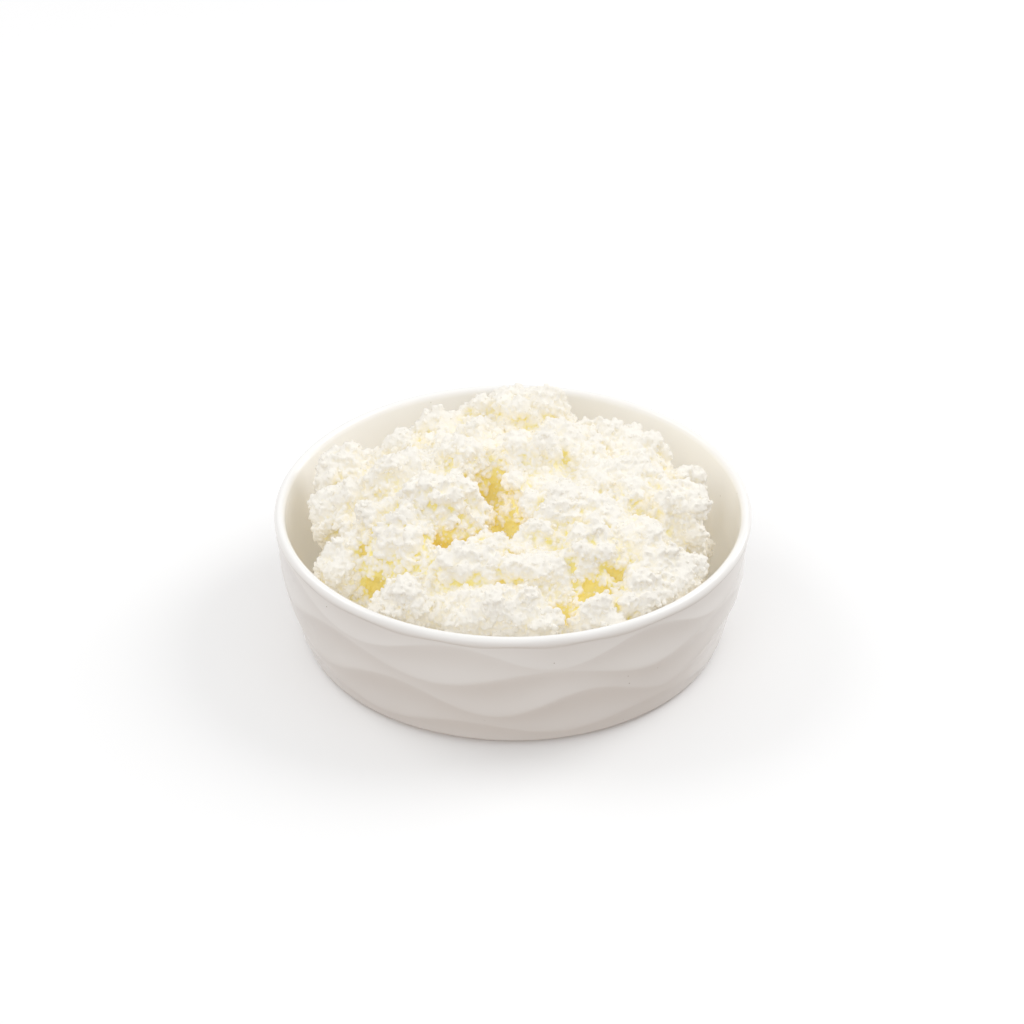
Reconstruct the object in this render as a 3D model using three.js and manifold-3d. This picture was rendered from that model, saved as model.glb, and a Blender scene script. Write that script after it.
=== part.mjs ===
// A bowl of ricotta: a glazed white bowl with a dimpled, wavy outside, and the crumbly heap of curd in it.
// Millimetres, +Z up. The origin is the centre of the foot's underside, and -Y is the front.
import * as THREE from "three";
import { mergeVertices } from "three/addons/utils/BufferGeometryUtils.js";
import { ImprovedNoise } from "three/addons/math/ImprovedNoise.js";
import Module from "manifold-3d";

// Bowl, driving dimensions
const RIM_RADIUS = 75;
const BOWL_HEIGHT = 44.5;
const BASE_RADIUS = 66;
const LIP_THICKNESS = 3.4;
const LIP_HEIGHT = 2.1;
const FLOOR_HEIGHT = 5;
const FOOT_RADIUS = 63;
const FOOT_WIDTH = 9;
const FOOT_RECESS = 1.5;
const BASE_EDGE_HEIGHT = 1.6;
const CAVITY_ROUNDNESS = { across: 6, down: 2.6 };
const LIP_START_DEGREES = -40;
const LIP_END_DEGREES = 180;

// The outside wall: ridge lines that wave round the bowl, with a hollow dimple between each two of them.
// A crest angle is measured from the front, anticlockwise seen from above.
const WAVES_ROUND = 7;
const RIDGES = [
  { height: 7.4, swing: 2.4, crestDegrees: -10 },
  { height: 18.0, swing: 4.7, crestDegrees: -33 },
  { height: 28.7, swing: 3.5, crestDegrees: 7 },
  { height: 36.8, swing: 4.0, crestDegrees: -17 },
];
const SWAY_DEGREES = 3;
const DIMPLE_DEPTH = 1.5;
const DIMPLE_FULL_GAP = 16;

// Mesh density of the bowl
const BOWL_COLUMNS = 76;
const ROWS_PER_DIMPLE = 3;
const LIP_STEPS = 5;
const CAVITY_STEPS = 6;
const ROOM_COLUMNS = BOWL_COLUMNS / 2;

// Ricotta, driving dimensions. The core is a flattened dome, which the clumps and crumbs stand out of.
const CURD_GAP = 0.3;
const HEADROOM_HEIGHT = 90;
const CORE_RADIUS = 63;
const CORE_HALF_HEIGHT = 41;
const CORE_CENTRE_HEIGHT = 16;
const CORE_FLATNESS = 0.5;
const CORE_DETAIL = 10;
const CORE_LUMPS = { count: 5, swell: 0.05, crags: 0.12 };
const CLUMP_LUMPS = { count: 1.3, swell: 0.3, crags: 0.42 };
const CLUMP_FACET = 6;
const CRAGS_PER_LUMP = 2;
const FOLDED_NOISE_MEAN = 0.25;
const SEED_STEP = 11.3;

// Crumbs fill the heap between the clumps. They spiral out evenly, as seeds do on a sunflower.
const CRUMB_COUNT = 30;
const CRUMB_HALF = { least: 3.6, most: 6.6 };
const CRUMB_STANDS_OUT = { least: 0.5, most: 4 };
const CRUMB_SPREAD_RADIUS = 60;
const WHOLE_STEP = { least: 0, most: 1 };
const CRUMB_DETAIL = 1;
const CRUMB_SEED = 7;

// The clumps that make the heap: centre in plan, height of the top, and half sizes along X, Y and Z.
const CLUMPS = [
  { x: 2, y: 45, top: 60, half: [21, 13, 14] },
  { x: -24, y: 38, top: 58, half: [9, 8, 11] },
  { x: -12, y: 27, top: 61, half: [7, 7, 10] },
  { x: -36, y: 23, top: 57, half: [10, 10, 12] },
  { x: -52, y: 18, top: 55, half: [12, 11, 15] },
  { x: -53, y: -1, top: 54, half: [12, 9, 12] },
  { x: -52, y: -29, top: 51, half: [11, 10, 16] },
  { x: -23, y: -16, top: 64, half: [16, 13, 14] },
  { x: -32, y: 1, top: 62, half: [13, 12, 13] },
  { x: -18, y: 9, top: 64, half: [12, 10, 12] },
  { x: 6, y: 11, top: 65, half: [12, 10, 14] },
  { x: 18, y: 19, top: 63, half: [14, 12, 14] },
  { x: 35, y: 21, top: 59, half: [16, 14, 15] },
  { x: 33, y: 1, top: 61, half: [19, 16, 15] },
  { x: 54, y: 9, top: 54, half: [8, 7, 9] },
  { x: 48, y: -9, top: 57, half: [13, 13, 17] },
  { x: 21, y: -19, top: 63, half: [18, 14, 14] },
  { x: 24, y: -36, top: 59, half: [12, 10, 12] },
  { x: 37, y: -27, top: 57, half: [15, 12, 15] },
  { x: 45, y: -38, top: 54, half: [14, 13, 14] },
  { x: 38, y: -50, top: 51, half: [13, 10, 13] },
  { x: 26, y: -58, top: 48, half: [9, 7, 11] },
  { x: -5, y: -55, top: 52, half: [20, 11, 15] },
  { x: 8, y: -44, top: 55, half: [15, 9, 13] },
  { x: -13, y: -41, top: 57, half: [15, 9, 12] },
  { x: -34, y: -29, top: 58, half: [11, 10, 14] },
  { x: -41, y: -16, top: 57, half: [9, 9, 11] },
  { x: -31, y: -50, top: 50, half: [13, 10, 13] },
  { x: -4, y: -34, top: 60, half: [5, 5, 12] },
  { x: 6, y: -29, top: 60, half: [7, 6, 13] },
  { x: 10, y: -61, top: 48, half: [8, 6, 10] },
];

// The crevices between them, in the same terms.
const HOLLOWS = [
  { x: -8, y: -3, top: 66, half: [7, 12, 10] },
  { x: -2, y: -20, top: 64, half: [6, 12, 11] },
  { x: -20, y: -28, top: 58, half: [12, 5, 8] },
  { x: 24, y: -47, top: 56, half: [7, 5, 9] },
  { x: -43, y: -38, top: 54, half: [4, 9, 10] },
  { x: -62, y: -14, top: 54, half: [9, 7, 20] },
  { x: 61, y: -25, top: 52, half: [8, 10, 20] },
];

const wasm = await Module();
wasm.setup();
const noise = new ImprovedNoise();
const radians = THREE.MathUtils.degToRad;

// A closed geometry as a manifold-3d solid.
function solidFrom(geometry) {
  const bare = geometry.clone();
  bare.deleteAttribute("normal");
  bare.deleteAttribute("uv");
  const merged = mergeVertices(bare);
  return new wasm.Manifold(
    new wasm.Mesh({
      numProp: 3,
      vertProperties: new Float32Array(merged.attributes.position.array),
      triVerts: new Uint32Array(merged.index.array),
    }),
  );
}

function geometryFrom(solid) {
  const mesh = solid.getMesh();
  const geometry = new THREE.BufferGeometry();
  geometry.setAttribute("position", new THREE.BufferAttribute(mesh.vertProperties, 3));
  geometry.setIndex(new THREE.BufferAttribute(mesh.triVerts, 1));
  geometry.computeVertexNormals();
  return geometry;
}

// A body turned about Z from rows of (radius, height), each of which may vary with the angle.
function turnedGeometry(rows, columns) {
  const outline = rows.map((row) => new THREE.Vector2(row(0).radius, row(0).height));
  const geometry = new THREE.LatheGeometry(outline, columns);
  const position = geometry.attributes.position;
  for (let column = 0; column <= columns; column++) {
    const angle = ((column % columns) / columns) * 2 * Math.PI;
    rows.forEach((row, index) => {
      const { radius, height } = row(angle);
      const vertex = column * rows.length + index;
      position.setXYZ(vertex, radius * Math.sin(angle), -radius * Math.cos(angle), height);
    });
  }
  return geometry;
}

const ring = (radius, height) => () => ({ radius, height });

// The wall without its dimples is a parabola that stands upright at the rim.
function wallRadius(height) {
  const fromRim = 1 - height / BOWL_HEIGHT;
  return RIM_RADIUS - (RIM_RADIUS - BASE_RADIUS) * fromRim * fromRim;
}

// The lip is the upper part of an ellipse. Zero degrees is its outermost point and 90 its crest.
function lipPoint(degrees) {
  const crestRadius = RIM_RADIUS - LIP_THICKNESS / 2;
  return {
    radius: crestRadius + (LIP_THICKNESS / 2) * Math.cos(radians(degrees)),
    height: BOWL_HEIGHT - LIP_HEIGHT + LIP_HEIGHT * Math.sin(radians(degrees)),
  };
}

// Height of a ridge line at an angle from the front. The waves sway, so that no two dimples are alike.
function ridgeHeight(ridge, angle) {
  const sway = radians(SWAY_DEGREES) * Math.sin(2 * angle + ridge.height);
  const wave = Math.cos(WAVES_ROUND * (angle - radians(ridge.crestDegrees) + sway));
  return ridge.height + ridge.swing * wave;
}

// Rows of the dimpled wall from one line up to the next, the lower line included.
function dimpleRows(lowerLine, upperLine) {
  return Array.from({ length: ROWS_PER_DIMPLE }, (_, step) => (angle) => {
    const share = step / ROWS_PER_DIMPLE;
    const low = lowerLine(angle);
    const high = upperLine(angle);
    const gap = high.height - low.height;
    const height = low.height + gap * share;
    const depth = DIMPLE_DEPTH * Math.min(1, (gap / DIMPLE_FULL_GAP) ** 2);
    const between = low.radius + (high.radius - low.radius) * share;
    const bulge = wallRadius(height) - (1 - share) * wallRadius(low.height) - share * wallRadius(high.height);
    return { radius: between + bulge - depth * 4 * share * (1 - share), height };
  });
}

function outsideRows() {
  const baseLine = () => ({ radius: wallRadius(BASE_EDGE_HEIGHT), height: BASE_EDGE_HEIGHT });
  const lipLine = () => lipPoint(LIP_START_DEGREES);
  const ridgeLines = RIDGES.map((ridge) => (angle) => {
    const height = ridgeHeight(ridge, angle);
    return { radius: Math.min(wallRadius(height), lipPoint(LIP_START_DEGREES).radius), height };
  });
  const lines = [baseLine, ...ridgeLines, lipLine];
  return lines.slice(0, -1).flatMap((line, index) => dimpleRows(line, lines[index + 1]));
}

function lipRows() {
  return Array.from({ length: LIP_STEPS + 1 }, (_, step) => {
    const degrees = THREE.MathUtils.lerp(LIP_START_DEGREES, LIP_END_DEGREES, step / LIP_STEPS);
    return () => lipPoint(degrees);
  });
}

// The inside of the bowl, from below the lip to the middle of the floor: a quarter of a superellipse.
// Inset moves it inwards, for what lies in the bowl.
function cavityRows(inset) {
  const mouth = lipPoint(LIP_END_DEGREES);
  const depth = mouth.height - FLOOR_HEIGHT;
  return Array.from({ length: CAVITY_STEPS }, (_, step) => {
    const turn = ((step + 1) / CAVITY_STEPS) * (Math.PI / 2);
    const across = step + 1 < CAVITY_STEPS ? Math.cos(turn) ** (2 / CAVITY_ROUNDNESS.across) : 0;
    const down = Math.sin(turn) ** (2 / CAVITY_ROUNDNESS.down);
    return ring(across * (mouth.radius - inset), mouth.height - down * (depth - inset));
  });
}

function bowlGeometry() {
  const footInner = FOOT_RADIUS - FOOT_WIDTH;
  return turnedGeometry(
    [
      ring(0, FOOT_RECESS),
      ring(footInner - FOOT_RECESS, FOOT_RECESS),
      ring(footInner, 0),
      ring(FOOT_RADIUS, 0),
      ...outsideRows(),
      ...lipRows(),
      ...cavityRows(0),
    ],
    BOWL_COLUMNS,
  );
}

// All the room for curd: the bowl's inside less a small gap, carried straight up above the rim.
function roomForCurd() {
  const mouth = lipPoint(LIP_END_DEGREES);
  const radius = mouth.radius - CURD_GAP;
  const rows = [ring(0, HEADROOM_HEIGHT), ring(radius, HEADROOM_HEIGHT), ring(radius, mouth.height)];
  const upwards = [...rows, ...cavityRows(CURD_GAP)].reverse();
  return solidFrom(turnedGeometry(upwards, ROOM_COLUMNS));
}

// An ellipsoid of curd, swollen and cragged by noise. Folding the finer noise at zero gives round
// lumps with sharp creases between them. Flatness under 1 squares the ellipsoid's shoulders.
function lumpGeometry(half, detail, lumps, seed, flatness = 1) {
  const geometry = new THREE.IcosahedronGeometry(1, detail);
  const position = geometry.attributes.position;
  const point = new THREE.Vector3();
  for (let index = 0; index < position.count; index++) {
    point.fromBufferAttribute(position, index);
    const coarse = point.clone().multiplyScalar(lumps.count).addScalar(seed);
    const fine = coarse.clone().multiplyScalar(CRAGS_PER_LUMP);
    const swell = lumps.swell * noise.noise(coarse.x, coarse.y, coarse.z);
    const crags = lumps.crags * (Math.abs(noise.noise(fine.x, fine.y, fine.z)) - FOLDED_NOISE_MEAN);
    point.z = Math.sign(point.z) * Math.abs(point.z) ** flatness;
    point.multiplyScalar(1 + swell + crags);
    position.setXYZ(index, point.x * half[0], point.y * half[1], point.z * half[2]);
  }
  return geometry;
}

function coreSolid() {
  const half = [CORE_RADIUS, CORE_RADIUS, CORE_HALF_HEIGHT];
  const geometry = lumpGeometry(half, CORE_DETAIL, CORE_LUMPS, 0, CORE_FLATNESS);
  return solidFrom(geometry.translate(0, 0, CORE_CENTRE_HEIGHT));
}

function coreTop(radius) {
  const across = Math.min(1, radius / CORE_RADIUS);
  return CORE_CENTRE_HEIGHT + CORE_HALF_HEIGHT * Math.sqrt(1 - across * across) ** CORE_FLATNESS;
}

function clumpSolid(clump, index) {
  const meanHalf = Math.cbrt(clump.half[0] * clump.half[1] * clump.half[2]);
  const detail = Math.round(meanHalf / CLUMP_FACET);
  const geometry = lumpGeometry(clump.half, detail, CLUMP_LUMPS, SEED_STEP * (index + 1));
  return solidFrom(geometry.translate(clump.x, clump.y, clump.top - clump.half[2]));
}

function crumbSolids() {
  THREE.MathUtils.seededRandom(CRUMB_SEED);
  const draw = (range) => THREE.MathUtils.lerp(range.least, range.most, THREE.MathUtils.seededRandom());
  const goldenAngle = Math.PI * (3 - Math.sqrt(5));
  return Array.from({ length: CRUMB_COUNT }, (_, index) => {
    const radius = CRUMB_SPREAD_RADIUS * Math.sqrt((index + draw(WHOLE_STEP)) / CRUMB_COUNT);
    const angle = index * goldenAngle;
    const half = draw(CRUMB_HALF);
    const geometry = lumpGeometry([half, half, half], CRUMB_DETAIL, CLUMP_LUMPS, SEED_STEP * index);
    const height = coreTop(radius) + draw(CRUMB_STANDS_OUT) - half;
    return solidFrom(geometry.translate(radius * Math.sin(angle), -radius * Math.cos(angle), height));
  });
}

// Core and crumbs, hollowed where the heap has crevices, with the clumps leaning over the hollows.
function curdGeometry() {
  const join = (joined, next) => joined.add(next);
  const body = crumbSolids().reduce(join, coreSolid());
  const hollowed = HOLLOWS.map(clumpSolid).reduce((left, hollow) => left.subtract(hollow), body);
  const heap = CLUMPS.map(clumpSolid).reduce(join, hollowed);
  const bodies = heap.intersect(roomForCurd()).decompose();
  return geometryFrom(bodies.reduce((most, next) => (next.volume() > most.volume() ? next : most)));
}

function addPart(group, name, geometry, material) {
  const mesh = new THREE.Mesh(geometry, new THREE.MeshStandardMaterial(material));
  mesh.name = name;
  group.add(mesh);
}

const bowlOfRicotta = new THREE.Group();
addPart(bowlOfRicotta, "bowl", bowlGeometry(), { color: 0xf3efe8, roughness: 0.15, metalness: 0 });
addPart(bowlOfRicotta, "ricotta", curdGeometry(), { color: 0xfbf6e6, roughness: 0.65, metalness: 0 });

export default bowlOfRicotta;
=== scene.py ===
"""Looks of the bowl of ricotta: a glazed bowl with a wavy, dimpled wall, and a heap of crumbly curd."""
import math

import bmesh
import bpy
import numpy as np
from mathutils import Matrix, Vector, kdtree, noise
from mathutils.bvhtree import BVHTree


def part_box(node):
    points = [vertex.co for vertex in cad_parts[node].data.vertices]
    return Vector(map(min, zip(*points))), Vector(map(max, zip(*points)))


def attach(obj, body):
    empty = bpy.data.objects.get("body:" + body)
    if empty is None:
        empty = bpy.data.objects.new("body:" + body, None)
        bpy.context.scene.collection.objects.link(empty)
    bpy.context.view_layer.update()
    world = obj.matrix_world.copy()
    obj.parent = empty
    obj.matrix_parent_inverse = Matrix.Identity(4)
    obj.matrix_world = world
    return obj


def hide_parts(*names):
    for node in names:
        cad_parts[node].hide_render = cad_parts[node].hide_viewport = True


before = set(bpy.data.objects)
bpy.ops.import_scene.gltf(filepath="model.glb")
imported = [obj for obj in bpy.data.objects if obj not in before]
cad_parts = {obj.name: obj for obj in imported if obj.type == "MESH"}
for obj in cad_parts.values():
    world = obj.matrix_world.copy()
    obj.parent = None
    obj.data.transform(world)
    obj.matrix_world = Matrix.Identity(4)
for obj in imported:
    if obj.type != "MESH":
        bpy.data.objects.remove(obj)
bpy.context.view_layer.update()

bowl_low, bowl_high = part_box("bowl")

MM = 0.001

# Camera, as fitted to the rim and foot of the bowl in the photograph
CAMERA_TARGET = Vector((0, 0, 25 * MM))
CAMERA_DISTANCE = 1.0
CAMERA_ELEVATION = math.radians(33.5)
CAMERA_LENS = 110.6
CAMERA_SHIFT = (-0.001, 0.0426)

# Bowl sizes in millimetres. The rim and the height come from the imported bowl.
RIM_RADIUS = bowl_high[0] / MM
BOWL_HEIGHT = bowl_high[2] / MM
BASE_RADIUS = 66
LIP_THICKNESS = 3.4
LIP_HEIGHT = 2.1
FLOOR_HEIGHT = 5
FOOT_RADIUS = 63
FOOT_WIDTH = 9
FOOT_RECESS = 1.5
FOOT_EDGE = 0.4
BASE_EDGE_HEIGHT = 1.6
CAVITY_ACROSS = 6
CAVITY_DOWN = 2.6
LIP_START_DEGREES = -40
LIP_END_DEGREES = 180

# Ridge lines that wave round the wall: height, swing and crest angle from the front, with a dimple between
# each two of them. The lip ripples a little where it meets the wall, and the glaze wobbles.
WAVES_ROUND = 7
RIDGES = ((7.4, 2.4, -10), (18.0, 4.7, -33), (28.7, 3.5, 7), (36.8, 4.0, -17))
SWAY_DEGREES = 3
SWAYS_ROUND = 2
DIMPLE_DEPTH = 0.95
DIMPLE_FULL_GAP = 16
RIDGE_ROUNDING = 1.4
LIP_RIPPLES = 18
LIP_RIPPLE_DRIFTS = 3
LIP_RIPPLE_HEIGHT = 0.6
LIP_RIPPLE_FADE = 6
GLAZE_WOBBLE = 0.12
WOBBLE_WAVES = (3, 5, 8)
WOBBLE_TURN = 1.7

# Mesh density of the bowl
BOWL_COLUMNS = 504
ROWS_PER_DIMPLE = 16
LIP_STEPS = 18
CAVITY_STEPS = 36
MERGE_DISTANCE = 1e-7

# Curd relief in millimetres. The heap shrinks first, because what is set on it swells it again.
# A sink is a share of the ball's radius. Crevices stay smooth, so the balls in them are smaller, and patches
# where the noise is under bare_below get no balls.
BASE_VOXEL = 1.0
BASE_SMOOTHING = 3
BASE_SHRINK = 2.0
PATCH_SIZE = 16
PATCH_SCATTER = 0.35
NOISE_SHIFT = (7.3, 3.1, 5.7)
TRIES_PER_PLACE = 3
SIZE_BIAS = 1.5
SEED = 11
LUMPS = dict(
    spacing=3.6, radii=(1.4, 4.0), sink=(0, 0.55), smaller_in_crevices=0.55,
    bare_below=-0.4, voxel=0.6, seed=1)
GRANULES = dict(
    spacing=1.3, radii=(0.55, 1.1), sink=(-0.35, 0.2), smaller_in_crevices=0.25,
    bare_below=-0.6, voxel=0.26, seed=2)
BALL_SUBDIVISIONS = 2
BALL_UNEVENNESS = (0.8, 1.2)
BALL_FLATNESS = (0.65, 1.35)
SHOWN_ABOVE = 24
HIDDEN_TRIANGLES = 6000
HEAP_TRIANGLES = 190000

# Loose grains and crumbs on the open parts of the heap: how many, how large, how far out they stand as a
# share of their radius, and how far they are drawn out
GRAINS = dict(count=1800, spacing=1.3, radii=(0.35, 0.7), raised=(-0.6, 0), stretch=(0.9, 1.3))
CRUMBS = dict(count=250, spacing=3, radii=(0.7, 1.2), raised=(-0.6, -0.1), stretch=(0.8, 1.3))
OPEN_BELOW = 0.5

# Painted shade on the curd: the depth of each point says how closed in it is, with a share for the clefts of
# the whole heap, for each crease and for a side that is turned down, and the material paints deeper points
# cream, then yellow, as shade and warm bounce light. Rays start just off the surface, in millimetres too.
SKY_POINTS = 20000
SKY_RAYS = 32
SKY_REACH = 10
RAY_START = 0.4
NEAR_POINTS = 3
CLEFT_SHARE = 0.5
CREASE_SMOOTHING = 25
CREASE_SHARE = 0.6
UNDERSIDE_SHADE_SHARE = 0.35
# Pockets where the painted shade is yellowest: centre in plan and radius. In other pits the painted shade is
# paler.
YELLOW_SHADE_POCKETS = ((-8, -3, 13), (-2, -20, 13), (-20, -28, 13), (24, -47, 11), (-43, -38, 11))
DEPTH_IN_POCKETS = 1.08
DEPTH_ELSEWHERE = 0.66
GRAIN_DEPTH = 0.8
PAINTED_SHADE_NAME = "depth"

# Colours: the curd by its depth, its own warm white on open tops and painted shade, cream to yellow, in its
# hollows; the glaze; and the studio from below to above
CURD_AND_PAINTED_SHADE_TINTS = (
    (0.2, (0.965, 0.92, 0.82)), (0.48, (0.965, 0.89, 0.70)), (0.62, (0.96, 0.86, 0.48)),
    (0.76, (0.955, 0.805, 0.22)))
PINHOLE_CELL = 8
PINHOLE_TONES = ((0.02, (0.5, 0.45, 0.4)), (0.035, (1, 1, 1)))
GLAZE_TONES = ((0.3, (0.965, 0.95, 0.92)), (0.7, (0.98, 0.968, 0.945)))
WORLD_TONES = ((0.5, (0.42, 0.42, 0.42)), (1.0, (0.68, 0.68, 0.68)))
FLOOR_COLOUR = (0.97, 0.97, 0.97)
TABLE_COLOUR = (0.36, 0.22, 0.12)
LIGHT_BOUNCES = 12
FILM_GAMMA = 1.4

# Surface detail: sizes and heights in millimetres, and the finest curd cells with their painted shade and
# relief
NOISE_DETAIL = 3
NOISE_LOW = 0.3
NOISE_HIGH = 0.7
GLAZE_CLOUD = 26
GLAZE_WAVE = 4
GLAZE_GLOSS = dict(size_mm=8, low=0.15, high=0.23)
GLAZE_RELIEF = dict(strength=0.06, height_mm=0.2)
CURD_SHEEN = 0.3
CURD_GLOSS = dict(size_mm=3.3, low=0.45, high=0.65)
FINE_CELL = 0.85
FINE_PAINTED_SHADE = 0.2
FINE_RELIEF = dict(strength=0.3, height_mm=0.45)
FLOOR_ROUGHNESS = 0.9
FLOOR_SHEEN = 0.1

# Stage and light in metres
FLOOR_HALF = 12
TABLE_HEIGHT = -0.05 * MM
LIGHTS = (
    dict(name="right_box", place=(0.8, 0.3, 0.9), size=0.7, power=5.0),
    dict(name="left_box", place=(-0.8, 0.3, 0.9), size=0.7, power=3.6),
    dict(name="front_fill", place=(-0.3, -1.0, 0.6), size=1.0, power=2.8),
    dict(name="right_strip", place=(1.0, 0.7, 0.3), size=0.4, power=2.0))


def mesh_from_arrays(name, points, faces):
    """A mesh from an array of points in metres and an array of triangles or quads."""
    mesh = bpy.data.meshes.new(name)
    corners = faces.shape[1]
    mesh.vertices.add(len(points))
    mesh.vertices.foreach_set("co", points.astype(np.float32).ravel())
    mesh.loops.add(faces.size)
    mesh.loops.foreach_set("vertex_index", faces.astype(np.int32).ravel())
    mesh.polygons.add(len(faces))
    mesh.polygons.foreach_set("loop_start", np.arange(0, faces.size, corners, dtype=np.int32))
    mesh.update(calc_edges=True)
    mesh.validate()
    return mesh


def add_object(name, mesh, material=None):
    piece = bpy.data.objects.new(name, mesh)
    bpy.context.scene.collection.objects.link(piece)
    if material:
        mesh.materials.append(material)
    return piece


def mesh_arrays(mesh):
    """Points, point normals and triangles of a mesh, as arrays."""
    points = np.empty(len(mesh.vertices) * 3, dtype=np.float32)
    mesh.vertices.foreach_get("co", points)
    normals = np.empty(len(mesh.vertices) * 3, dtype=np.float32)
    mesh.vertices.foreach_get("normal", normals)
    mesh.calc_loop_triangles()
    triangles = np.empty(len(mesh.loop_triangles) * 3, dtype=np.int32)
    mesh.loop_triangles.foreach_get("vertices", triangles)
    points, normals = points.reshape(-1, 3).astype(float), normals.reshape(-1, 3).astype(float)
    return points, normals, triangles.reshape(-1, 3)


def with_modifiers(mesh, *modifiers, group=None):
    """The mesh after modifiers, each a type and its settings. A group is a name and its points."""
    worker = add_object("worker", mesh)
    if group:
        worker.vertex_groups.new(name=group[0]).add(group[1], 1.0, "REPLACE")
    for kind, settings in modifiers:
        modifier = worker.modifiers.new(kind, kind)
        for key, value in settings.items():
            setattr(modifier, key, value)
    depsgraph = bpy.context.evaluated_depsgraph_get()
    result = bpy.data.meshes.new_from_object(worker.evaluated_get(depsgraph))
    bpy.data.objects.remove(worker)
    return result


def voxels(size_mm):
    return ("REMESH", {"mode": "VOXEL", "voxel_size": size_mm * MM, "use_smooth_shade": True})


def smoothing(times):
    return ("SMOOTH", {"factor": 0.5, "iterations": times})


# The bowl

def wall_radius(height):
    from_rim = 1 - height / BOWL_HEIGHT
    return RIM_RADIUS - (RIM_RADIUS - BASE_RADIUS) * from_rim * from_rim


def lip_point(degrees):
    turn = np.radians(degrees)
    radius = RIM_RADIUS - LIP_THICKNESS / 2 + LIP_THICKNESS / 2 * np.cos(turn)
    return radius, BOWL_HEIGHT - LIP_HEIGHT + LIP_HEIGHT * np.sin(turn)


def ridge_line(ridge, angles):
    height, swing, crest = ridge
    sway = math.radians(SWAY_DEGREES) * np.sin(SWAYS_ROUND * angles + height)
    line = height + swing * np.cos(WAVES_ROUND * (angles - math.radians(crest) + sway))
    return np.minimum(wall_radius(line), lip_point(LIP_START_DEGREES)[0]), line


def dimple_rows(lower, upper):
    """Rows of the wall from one line up to the next, with a rounded hollow between them."""
    rows = []
    for share in np.arange(ROWS_PER_DIMPLE) / ROWS_PER_DIMPLE:
        gap = upper[1] - lower[1]
        height = lower[1] + gap * share
        depth = DIMPLE_DEPTH * np.minimum(1, (gap / DIMPLE_FULL_GAP) ** 2)
        straight = lower[0] + (upper[0] - lower[0]) * share
        chord = (1 - share) * wall_radius(lower[1]) + share * wall_radius(upper[1])
        bulge = wall_radius(height) - chord
        hollow = (4 * share * (1 - share)) ** RIDGE_ROUNDING
        rows.append((straight + bulge - depth * hollow, height))
    return rows


def bowl_rows(angles):
    """The bowl's rows, from the middle of its underside, up the outside and down the inside."""
    flat = np.ones_like(angles)
    foot_inner = FOOT_RADIUS - FOOT_WIDTH
    rows = [(radius * flat, height * flat) for radius, height in (
        (0, FOOT_RECESS), (foot_inner / 2, FOOT_RECESS), (foot_inner - FOOT_RECESS, FOOT_RECESS),
        (foot_inner - FOOT_EDGE, FOOT_EDGE), (foot_inner, 0),
        (FOOT_RADIUS - FOOT_EDGE, 0), (FOOT_RADIUS, FOOT_EDGE / 4), (FOOT_RADIUS + FOOT_EDGE, FOOT_EDGE))]
    base = (wall_radius(BASE_EDGE_HEIGHT) * flat, BASE_EDGE_HEIGHT * flat)
    drift = np.sin(LIP_RIPPLE_DRIFTS * angles)
    ripple = LIP_RIPPLE_HEIGHT / 2 * (1 + np.cos(LIP_RIPPLES * angles + drift))
    lip_radius, lip_height = lip_point(LIP_START_DEGREES)
    lip = (lip_radius * flat, lip_height + ripple)
    lines = [base, *(ridge_line(ridge, angles) for ridge in RIDGES), lip]
    for lower, upper in zip(lines, lines[1:]):
        rows += dimple_rows(lower, upper)
    for share in np.linspace(0, 1, LIP_STEPS + 1):
        degrees = LIP_START_DEGREES + (LIP_END_DEGREES - LIP_START_DEGREES) * share
        radius, height = lip_point(degrees)
        rows.append((radius * flat, height + ripple * (1 - share) ** LIP_RIPPLE_FADE))
    mouth_radius, mouth_height = lip_point(LIP_END_DEGREES)
    for turn in np.linspace(0, math.pi / 2, CAVITY_STEPS + 1)[1:-1]:
        across = math.cos(turn) ** (2 / CAVITY_ACROSS)
        down = math.sin(turn) ** (2 / CAVITY_DOWN)
        height = mouth_height - down * (mouth_height - FLOOR_HEIGHT)
        rows.append((across * mouth_radius * flat, height * flat))
    rows.append((0 * flat, FLOOR_HEIGHT * flat))
    return rows


def bowl_mesh():
    angles = np.arange(BOWL_COLUMNS) / BOWL_COLUMNS * 2 * math.pi
    rows = bowl_rows(angles)
    radius = np.array([row[0] for row in rows])
    height = np.array([row[1] for row in rows])
    wobble = sum(np.sin(k * (angles + WOBBLE_TURN)) / k for k in WOBBLE_WAVES) * GLAZE_WOBBLE
    radius = radius + wobble * np.clip(height / BOWL_HEIGHT, 0, 1) * (radius > FOOT_RADIUS)
    points = np.stack([radius * np.sin(angles), -radius * np.cos(angles), height], axis=2) * MM
    row, column = np.meshgrid(np.arange(len(rows) - 1), np.arange(BOWL_COLUMNS), indexing="ij")
    here = row * BOWL_COLUMNS + column
    beside = row * BOWL_COLUMNS + (column + 1) % BOWL_COLUMNS
    quads = np.stack([here, beside, beside + BOWL_COLUMNS, here + BOWL_COLUMNS], axis=2).reshape(-1, 4)
    mesh = mesh_from_arrays("bowl", points.reshape(-1, 3), quads)
    shaped = bmesh.new()
    shaped.from_mesh(mesh)
    bmesh.ops.remove_doubles(shaped, verts=shaped.verts, dist=MERGE_DISTANCE)
    bmesh.ops.recalc_face_normals(shaped, faces=shaped.faces)
    shaped.to_mesh(mesh)
    shaped.free()
    mesh.shade_smooth()
    return mesh


# The curd

def noise_at(points, scale_mm, seed):
    """Smooth noise from about -1 to 1 at each point, with features of about that size."""
    shift = seed * Vector(NOISE_SHIFT)
    return np.array([noise.noise(Vector(point) / (scale_mm * MM) + shift) for point in points])


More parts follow.
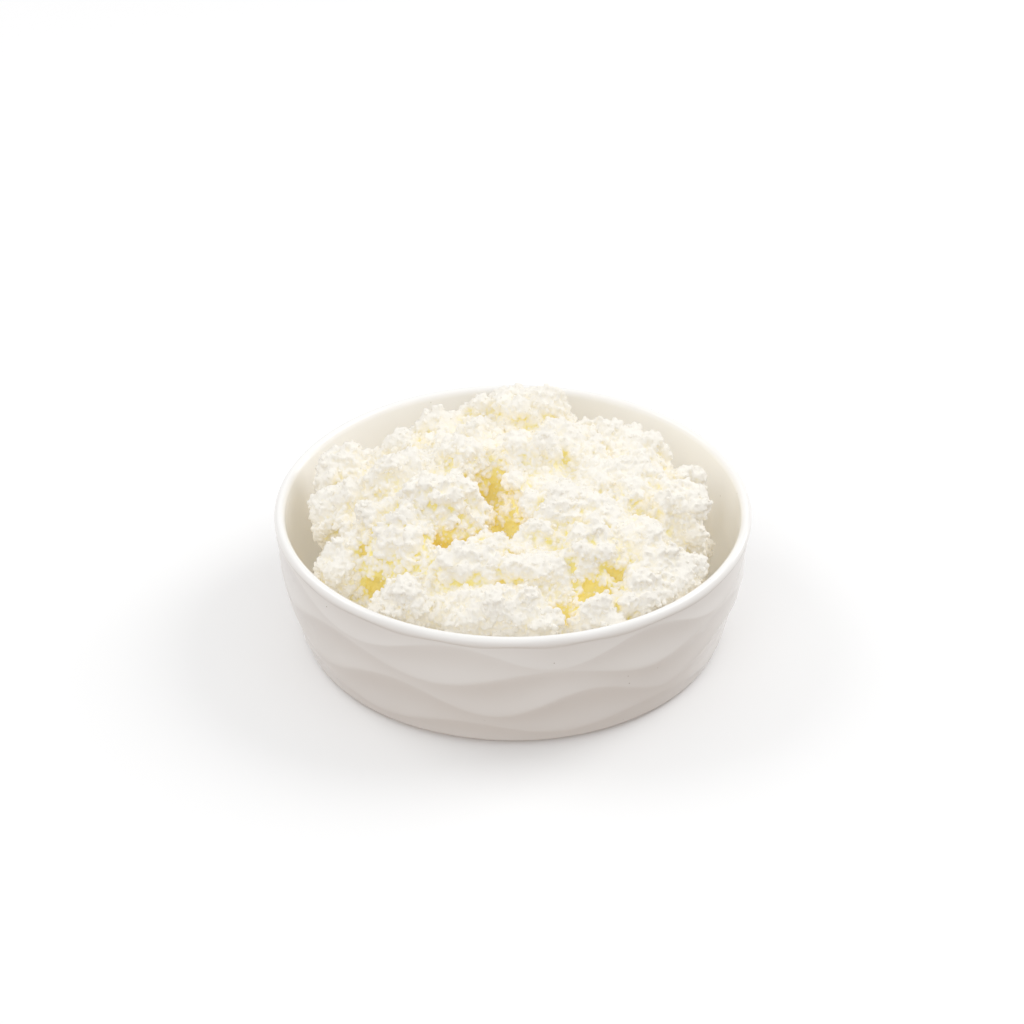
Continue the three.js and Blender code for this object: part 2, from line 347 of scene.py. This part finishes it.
def spread_points(mesh, spacing_mm, random):
    """Points spread over the shown part of a mesh, no two nearer than the spacing, and their normals."""
    points, _, triangles = mesh_arrays(mesh)
    corners = points[triangles]
    normal = np.cross(corners[:, 1] - corners[:, 0], corners[:, 2] - corners[:, 0])
    area = np.linalg.norm(normal, axis=1) / 2
    weight = area * (corners[:, :, 2].min(axis=1) > SHOWN_ABOVE * MM)
    pitch = spacing_mm * MM
    count = int(TRIES_PER_PLACE * weight.sum() / pitch ** 2)
    chosen = random.choice(len(triangles), count, p=weight / weight.sum())
    share = random.random((count, 2))
    share = np.where(share.sum(axis=1, keepdims=True) > 1, 1 - share, share)
    a, b, c = corners[chosen, 0], corners[chosen, 1], corners[chosen, 2]
    spots = a + (b - a) * share[:, :1] + (c - a) * share[:, 1:]
    facing = normal[chosen] / (2 * area[chosen, None])
    cells = {}
    kept = []
    for index, spot in enumerate(spots):
        cell = tuple((spot // pitch).astype(int))
        near = (
            other
            for dx in (-1, 0, 1) for dy in (-1, 0, 1) for dz in (-1, 0, 1)
            for other in cells.get((cell[0] + dx, cell[1] + dy, cell[2] + dz), ())
        )
        if all(((spots[other] - spot) ** 2).sum() > pitch * pitch for other in near):
            cells.setdefault(cell, []).append(index)
            kept.append(index)
    return spots[kept], facing[kept]


def ball_template():
    ball = bmesh.new()
    bmesh.ops.create_icosphere(ball, subdivisions=BALL_SUBDIVISIONS, radius=1)
    points = np.array([vertex.co for vertex in ball.verts])
    triangles = np.array([[vertex.index for vertex in face.verts] for face in ball.faces])
    ball.free()
    return points, triangles


def random_turns(count, random):
    """Random rotation matrices, from random unit quaternions."""
    q = random.normal(size=(count, 4))
    w, x, y, z = (q / np.linalg.norm(q, axis=1, keepdims=True)).T
    return np.stack([
        np.stack([1 - 2 * (y * y + z * z), 2 * (x * y - z * w), 2 * (x * z + y * w)], axis=1),
        np.stack([2 * (x * y + z * w), 1 - 2 * (x * x + z * z), 2 * (y * z - x * w)], axis=1),
        np.stack([2 * (x * z - y * w), 2 * (y * z + x * w), 1 - 2 * (x * x + y * y)], axis=1),
    ], axis=1)


def uneven_balls(centres, radii, random):
    """Points of many uneven balls, one row a ball, and their triangles."""
    points, triangles = ball_template()
    count = len(centres)
    shape = points[None] * random.uniform(*BALL_UNEVENNESS, (count, len(points), 1))
    shape = shape * random.uniform(*BALL_FLATNESS, (count, 1, 3))
    turned = np.einsum("nij,nkj->nki", random_turns(count, random), shape)
    joined = triangles[None] + (np.arange(count) * len(points))[:, None, None]
    return turned * radii[:, None, None] + centres[:, None], joined.reshape(-1, 3)


def studded(mesh, look, sky, random):
    """The mesh with uneven balls set in its shown part, joined to one body, and patches left bare."""
    spots, facing = spread_points(mesh, look["spacing"], random)
    patch = noise_at(spots, PATCH_SIZE, look["seed"]) + PATCH_SCATTER * random.uniform(-1, 1, len(spots))
    kept = patch > look["bare_below"]
    spots, facing, patch = spots[kept], facing[kept], patch[kept]
    low, high = look["radii"]
    share = np.clip((1 + patch + random.uniform(-1, 1, len(spots))) / 2, 0, 1)
    openness = 1 - look["smaller_in_crevices"] * nearest_values(spots, *sky)
    radii = (low + (high - low) * share ** SIZE_BIAS) * openness * MM
    depth = radii * random.uniform(*look["sink"], len(spots))
    balls, ball_triangles = uneven_balls(spots - facing * depth[:, None], radii, random)
    points, _, triangles = mesh_arrays(mesh)
    together = mesh_from_arrays(
        "together", np.vstack([points, balls.reshape(-1, 3)]),
        np.vstack([triangles, ball_triangles + len(points)]))
    return with_modifiers(together, voxels(look["voxel"]), smoothing(1))


def largest_body(mesh):
    """The mesh without the small closed shells that joining leaves inside it."""
    points, _, triangles = mesh_arrays(mesh)
    label = np.arange(len(points))
    ends = np.vstack([triangles[:, :2], triangles[:, 1:]])
    while True:
        lowest = np.minimum(label[ends[:, 0]], label[ends[:, 1]])
        merged = label.copy()
        np.minimum.at(merged, ends[:, 0], lowest)
        np.minimum.at(merged, ends[:, 1], lowest)
        merged = merged[merged]
        if (merged == label).all():
            break
        label = merged
    biggest = np.bincount(label).argmax()
    used = np.flatnonzero(label == biggest)
    place = np.zeros(len(points), dtype=int)
    place[used] = np.arange(len(used))
    return mesh_from_arrays("body", points[used], place[triangles[label[triangles[:, 0]] == biggest]])


def thinned(mesh):
    """The mesh with few triangles where the bowl hides it, and no more triangles in all than HEAP_TRIANGLES.
    """
    points, _, triangles = mesh_arrays(mesh)
    shown = points[:, 2] > SHOWN_ABOVE * MM
    hidden_count = np.count_nonzero(~shown[triangles].any(axis=1))
    after_first = len(triangles) - max(hidden_count - HIDDEN_TRIANGLES, 0)
    first = {"ratio": after_first / len(triangles), "vertex_group": "shown"}
    second = {"ratio": min(1, HEAP_TRIANGLES / after_first)}
    return with_modifiers(
        mesh, ("DECIMATE", first), ("DECIMATE", second), group=("shown", np.flatnonzero(shown).tolist()))


def closed_in(mesh, random):
    """How closed in some points of the mesh's shown part are: 0 on an open top, 1 in a deep hole."""
    points, normals, triangles = mesh_arrays(mesh)
    picked = random.choice(np.flatnonzero(points[:, 2] > SHOWN_ABOVE * MM), SKY_POINTS, replace=False)
    tree = BVHTree.FromPolygons([tuple(p) for p in points], [tuple(t) for t in triangles])
    rays = random.normal(size=(SKY_RAYS, 3))
    rays /= np.linalg.norm(rays, axis=1, keepdims=True)
    closed = np.empty(len(picked))
    for place, index in enumerate(picked):
        start = Vector(points[index] + normals[index] * RAY_START * MM)
        outward = rays * np.sign(rays @ normals[index])[:, None]
        hits = sum(tree.ray_cast(start, Vector(ray), SKY_REACH * MM)[0] is not None for ray in outward)
        closed[place] = hits / SKY_RAYS
    return points[picked], closed


def nearest_values(points, sources, values):
    """The mean value of the few sources that are nearest to each point."""
    tree = kdtree.KDTree(len(sources))
    for index, source in enumerate(sources):
        tree.insert(source, index)
    tree.balance()
    near = np.array([[hit[1] for hit in tree.find_n(point, NEAR_POINTS)] for point in points])
    return values[near].mean(axis=1)


def creases(mesh):
    """How many millimetres each point lies under the smoothed surface, below 0 where it stands out."""
    points, normals, _ = mesh_arrays(mesh)
    smooth_points, _, _ = mesh_arrays(with_modifiers(mesh, smoothing(CREASE_SMOOTHING)))
    return ((smooth_points - points) * normals).sum(axis=1) / MM


def yellow_shade_share(points):
    """1 in the middle of a pocket where the painted shade is yellowest, falling to 0 away from it."""
    plan = points[:, :2] / MM
    share = np.zeros(len(points))
    for x, y, radius in YELLOW_SHADE_POCKETS:
        share = np.maximum(share, np.exp(-((plan - (x, y)) ** 2).sum(axis=1) / radius ** 2))
    return share


def set_painted_shade(mesh, values):
    """Keep each point's depth for the material's painted shade, deeper in the pockets where that shade is
    yellowest.
    """
    points, _, _ = mesh_arrays(mesh)
    values = values * (DEPTH_ELSEWHERE + (DEPTH_IN_POCKETS - DEPTH_ELSEWHERE) * yellow_shade_share(points))
    attribute = mesh.attributes.new(PAINTED_SHADE_NAME, "FLOAT", "POINT")
    attribute.data.foreach_set("value", np.clip(values, 0, 1).astype(np.float32))


def loose_mesh(name, heap, look, sky, random):
    """Loose balls on the open parts of the heap, drawn out from it by different amounts."""
    spots, facing = spread_points(heap, look["spacing"], random)
    depth = nearest_values(spots, *sky)
    order = random.permutation(len(spots))
    chosen = order[depth[order] < OPEN_BELOW][:look["count"]]
    spots, facing = spots[chosen], facing[chosen]
    radii = random.uniform(*look["radii"], len(spots)) * MM
    centres = spots + facing * (radii * random.uniform(*look["raised"], len(spots)))[:, None]
    balls, triangles = uneven_balls(centres, radii, random)
    stretch = random.uniform(*look["stretch"], len(spots)) - 1
    along = ((balls - centres[:, None]) * facing[:, None]).sum(axis=2, keepdims=True)
    balls = balls + facing[:, None] * along * stretch[:, None, None]
    mesh = mesh_from_arrays(name, balls.reshape(-1, 3), triangles)
    mesh.shade_smooth()
    # Painted shade on the loose balls as well, from how closed in the heap is around them
    set_painted_shade(mesh, np.repeat(depth[chosen], balls.shape[1]) * GRAIN_DEPTH)
    return mesh


def curd_meshes():
    """The heap with its relief, and the loose grains and crumbs on it."""
    random = np.random.default_rng(SEED)
    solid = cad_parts["ricotta"].data.copy()
    shrink = ("DISPLACE", {"strength": -BASE_SHRINK * MM, "mid_level": 0})
    base = with_modifiers(solid, voxels(BASE_VOXEL), smoothing(BASE_SMOOTHING), shrink, voxels(BASE_VOXEL))
    clefts = closed_in(base, random)
    lumpy = studded(base, LUMPS, clefts, random)
    sky = closed_in(lumpy, random)
    heap = thinned(largest_body(studded(lumpy, GRANULES, sky, random)))
    heap.shade_smooth()
    points, normals, _ = mesh_arrays(heap)
    # Painted shade under things: sides turned down are painted deeper, as if in shade
    turned_down = (1 - normals[:, 2]) / 2
    # Painted shade: deeper where the heap is closed in, cleft or creased
    depth = (1 - CLEFT_SHARE) * nearest_values(points, *sky)
    depth += CLEFT_SHARE * nearest_values(points, *clefts)
    depth += CREASE_SHARE * creases(heap) + UNDERSIDE_SHADE_SHARE * turned_down
    set_painted_shade(heap, depth)

    grains = loose_mesh("grains", heap, GRAINS, sky, random)
    crumbs = loose_mesh("crumbs", heap, CRUMBS, sky, random)
    return heap, grains, crumbs


# Materials

def new_material(name):
    material = bpy.data.materials.new(name)
    material.use_nodes = True
    return material, material.node_tree.nodes, material.node_tree.links


def ramp(nodes, stops):
    """A colour ramp from (place, colour) pairs."""
    node = nodes.new("ShaderNodeValToRGB")
    elements = node.color_ramp.elements
    elements.remove(elements[1])
    elements[0].position = stops[0][0]
    elements[0].color = (*stops[0][1], 1)
    for place, colour in stops[1:]:
        elements.new(place).color = (*colour, 1)
    return node


def grey(value):
    return (value, value, value)


def texture_node(nodes, links, kind, size_mm):
    where = nodes.new("ShaderNodeTexCoord")
    node = nodes.new(kind)
    node.inputs["Scale"].default_value = 1 / (size_mm * MM)
    links.new(where.outputs["Object"], node.inputs["Vector"])
    return node


def noise_node(nodes, links, size_mm):
    """Noise with features of about that size."""
    node = texture_node(nodes, links, "ShaderNodeTexNoise", size_mm)
    node.inputs["Detail"].default_value = NOISE_DETAIL
    return node


def add_roughness(nodes, links, size_mm, low, high):
    gloss = ramp(nodes, [(NOISE_LOW, grey(low)), (NOISE_HIGH, grey(high))])
    links.new(noise_node(nodes, links, size_mm).outputs["Fac"], gloss.inputs["Fac"])
    links.new(gloss.outputs["Color"], nodes["Principled BSDF"].inputs["Roughness"])


def add_bump(nodes, links, height, strength, height_mm):
    """Fine relief in the shading, from a texture's output."""
    bump = nodes.new("ShaderNodeBump")
    bump.inputs["Strength"].default_value = strength
    bump.inputs["Distance"].default_value = height_mm * MM
    links.new(height, bump.inputs["Height"])
    links.new(bump.outputs["Normal"], nodes["Principled BSDF"].inputs["Normal"])
    return bump


def glaze_material():
    material, nodes, links = new_material("glazed_porcelain")
    shader = nodes["Principled BSDF"]
    tone = ramp(nodes, GLAZE_TONES)
    links.new(noise_node(nodes, links, GLAZE_CLOUD).outputs["Fac"], tone.inputs["Fac"])
    pinholes = ramp(nodes, PINHOLE_TONES)
    cells = texture_node(nodes, links, "ShaderNodeTexVoronoi", PINHOLE_CELL)
    links.new(cells.outputs["Distance"], pinholes.inputs["Fac"])
    speckled = nodes.new("ShaderNodeMix")
    speckled.data_type = "RGBA"
    speckled.blend_type = "MULTIPLY"
    speckled.inputs["Factor"].default_value = 1
    sockets = {socket.identifier: socket for socket in (*speckled.inputs, *speckled.outputs)}
    links.new(tone.outputs["Color"], sockets["A_Color"])
    links.new(pinholes.outputs["Color"], sockets["B_Color"])
    links.new(sockets["Result_Color"], shader.inputs["Base Color"])
    add_roughness(nodes, links, **GLAZE_GLOSS)
    waves = noise_node(nodes, links, GLAZE_WAVE)
    add_bump(nodes, links, waves.outputs["Fac"], **GLAZE_RELIEF)
    return material


def curd_material():
    """Curd that is white on open tops, with painted shade that turns it cream, then yellow, in its creases
    and hollows and between its finest cells.
    """
    material, nodes, links = new_material("ricotta_curd")
    shader = nodes["Principled BSDF"]
    shader.inputs["Specular IOR Level"].default_value = CURD_SHEEN
    depth = nodes.new("ShaderNodeAttribute")
    depth.attribute_name = PAINTED_SHADE_NAME
    cells = texture_node(nodes, links, "ShaderNodeTexVoronoi", FINE_CELL)
    # Painted shade between the finest cells: their edges count as a little deeper
    depth_with_cell_shade = nodes.new("ShaderNodeMath")
    depth_with_cell_shade.operation = "MULTIPLY_ADD"
    depth_with_cell_shade.inputs[1].default_value = FINE_PAINTED_SHADE
    links.new(cells.outputs["Distance"], depth_with_cell_shade.inputs[0])
    links.new(depth.outputs["Fac"], depth_with_cell_shade.inputs[2])
    # Painted shade: the ramp turns deeper points cream, then yellow
    tint_and_painted_shade = ramp(nodes, CURD_AND_PAINTED_SHADE_TINTS)
    links.new(depth_with_cell_shade.outputs["Value"], tint_and_painted_shade.inputs["Fac"])
    links.new(tint_and_painted_shade.outputs["Color"], shader.inputs["Base Color"])
    add_roughness(nodes, links, **CURD_GLOSS)
    add_bump(nodes, links, cells.outputs["Distance"], **FINE_RELIEF).invert = True
    return material


def floor_material(name, colour):
    material, nodes, _ = new_material(name)
    shader = nodes["Principled BSDF"]
    shader.inputs["Base Color"].default_value = (*colour, 1)
    shader.inputs["Roughness"].default_value = FLOOR_ROUGHNESS
    shader.inputs["Specular IOR Level"].default_value = FLOOR_SHEEN
    return material


# Stage, light and camera

def add_area_light(name, place, size, power):
    lamp = bpy.data.lights.new(name, "AREA")
    lamp.shape = "DISK"
    lamp.size = size
    lamp.energy = power
    holder = bpy.data.objects.new(name, lamp)
    holder.location = place
    holder.rotation_euler = (CAMERA_TARGET - Vector(place)).to_track_quat("-Z", "Y").to_euler()
    bpy.context.scene.collection.objects.link(holder)


def add_world():
    """A white studio, brighter overhead than at the horizon."""
    world = bpy.data.worlds.new("studio")
    bpy.context.scene.world = world
    world.use_nodes = True
    nodes, links = world.node_tree.nodes, world.node_tree.links
    where = nodes.new("ShaderNodeTexCoord")
    split = nodes.new("ShaderNodeSeparateXYZ")
    height = nodes.new("ShaderNodeMapRange")
    height.inputs["From Min"].default_value = -1
    tone = ramp(nodes, WORLD_TONES)
    links.new(where.outputs["Generated"], split.inputs["Vector"])
    links.new(split.outputs["Z"], height.inputs["Value"])
    links.new(height.outputs["Result"], tone.inputs["Fac"])
    links.new(tone.outputs["Color"], nodes["Background"].inputs["Color"])


def add_plane(name, height, colour):
    sides = ((-1, -1), (1, -1), (1, 1), (-1, 1))
    corners = np.array([(x * FLOOR_HALF, y * FLOOR_HALF, height) for x, y in sides])
    mesh = mesh_from_arrays(name, corners, np.array([[0, 1, 2, 3]]))
    plane = add_object(name, mesh, floor_material(name, colour))
    return plane


def add_stage():
    """A white floor that shows, and just under it a table that only throws its warm light on the bowl."""
    floor = add_plane("floor", 0, FLOOR_COLOUR)
    floor.visible_diffuse = False
    table = add_plane("table_bounce", TABLE_HEIGHT, TABLE_COLOUR)
    table.visible_camera = False
    table.visible_glossy = False
    add_world()
    for light in LIGHTS:
        add_area_light(**light)
    bpy.context.scene.view_settings.view_transform = "Standard"
    bpy.context.scene.view_settings.gamma = FILM_GAMMA
    bpy.context.scene.cycles.diffuse_bounces = LIGHT_BOUNCES
    bpy.context.scene.cycles.max_bounces = LIGHT_BOUNCES


def add_camera():
    data = bpy.data.cameras.new("camera")
    data.lens = CAMERA_LENS
    data.shift_x, data.shift_y = CAMERA_SHIFT
    camera = bpy.data.objects.new("camera", data)
    back = Vector((0, -math.cos(CAMERA_ELEVATION), math.sin(CAMERA_ELEVATION)))
    camera.location = CAMERA_TARGET + back * CAMERA_DISTANCE
    camera.rotation_euler = (-back).to_track_quat("-Z", "Y").to_euler()
    bpy.context.scene.collection.objects.link(camera)
    bpy.context.scene.camera = camera


add_camera()
add_stage()

bowl = add_object("porcelain_bowl", bowl_mesh(), glaze_material())
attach(bowl, "root")
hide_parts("bowl")

heap_mesh, grain_mesh, crumb_mesh = curd_meshes()
curd_look = curd_material()
heap = add_object("ricotta_heap", heap_mesh, curd_look)
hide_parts("ricotta")
grains = add_object("ricotta_grains", grain_mesh, curd_look)
crumbs = add_object("ricotta_crumbs", crumb_mesh, curd_look)
for piece in (heap, grains, crumbs):
    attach(piece, "root")
